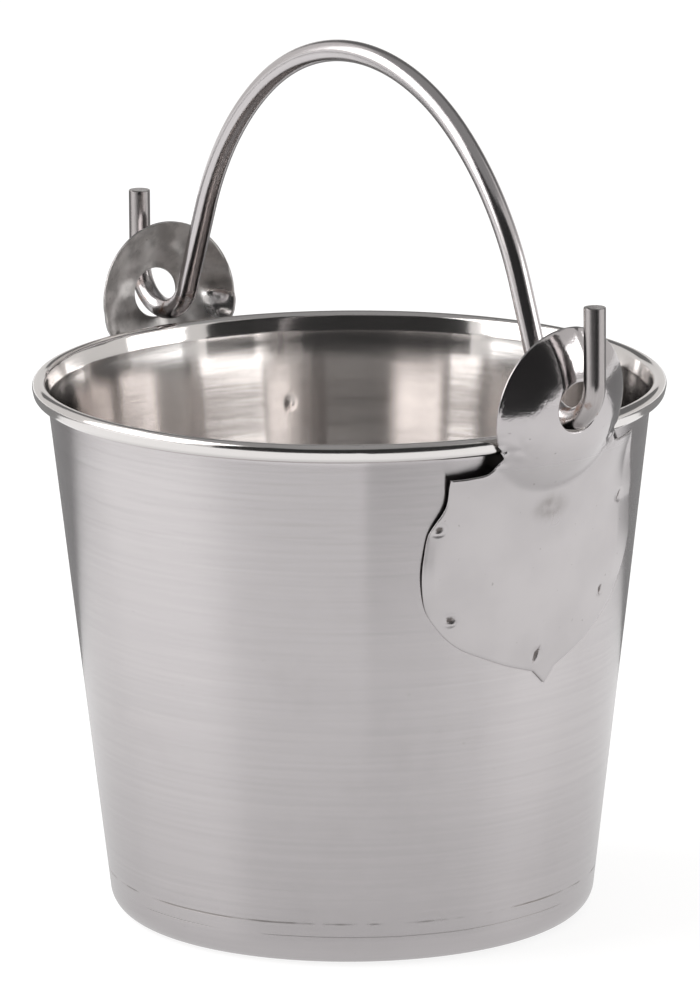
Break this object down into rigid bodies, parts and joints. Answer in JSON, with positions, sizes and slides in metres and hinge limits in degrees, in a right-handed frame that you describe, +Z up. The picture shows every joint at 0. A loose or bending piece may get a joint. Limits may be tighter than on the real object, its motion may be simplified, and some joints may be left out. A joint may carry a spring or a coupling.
{
  "type": "feed bucket",
  "caption": "Tapered stainless steel feed bucket with a rolled rim, two domed ears spot welded to the wall and an arched wire bail that swings in them.",
  "frame": {"origin": "centre of the flat base, on the surface that the bucket stands on", "axes": "+Z up through the mouth; X along the bail's pivot line, +X to the right ear; Y across, the way the bail swings. Both ears stand 2.4 degrees round the pail towards +Y, so the pivot line is 4.7 mm off the middle, and each hangs 3.5 degrees askew about its upper lobe, the tip towards +Y"},
  "size_m": [0.246, 0.204, 0.2837],
  "materials": {
    "pail_steel": "satin, lightly scuffed in horizontal lines",
    "ear_steel": "polished on the dome, satin on the lobe and the back",
    "rod_steel": "drawn bright, fine lengthwise lines"
  },
  "bodies": {
    "pail": {"pail_shell": "pail_steel", "right_ear": "ear_steel", "left_ear": "ear_steel"},
    "bail": {"bail": "rod_steel"}
  },
  "joints": [
    {"name": "bail_swing", "type": "hinge", "parent": "pail", "child": "bail", "pos_m": [0, 0.00469, 0.1807], "axis": [1, 0, 0], "range_deg": [-90, 90]}
  ]
}
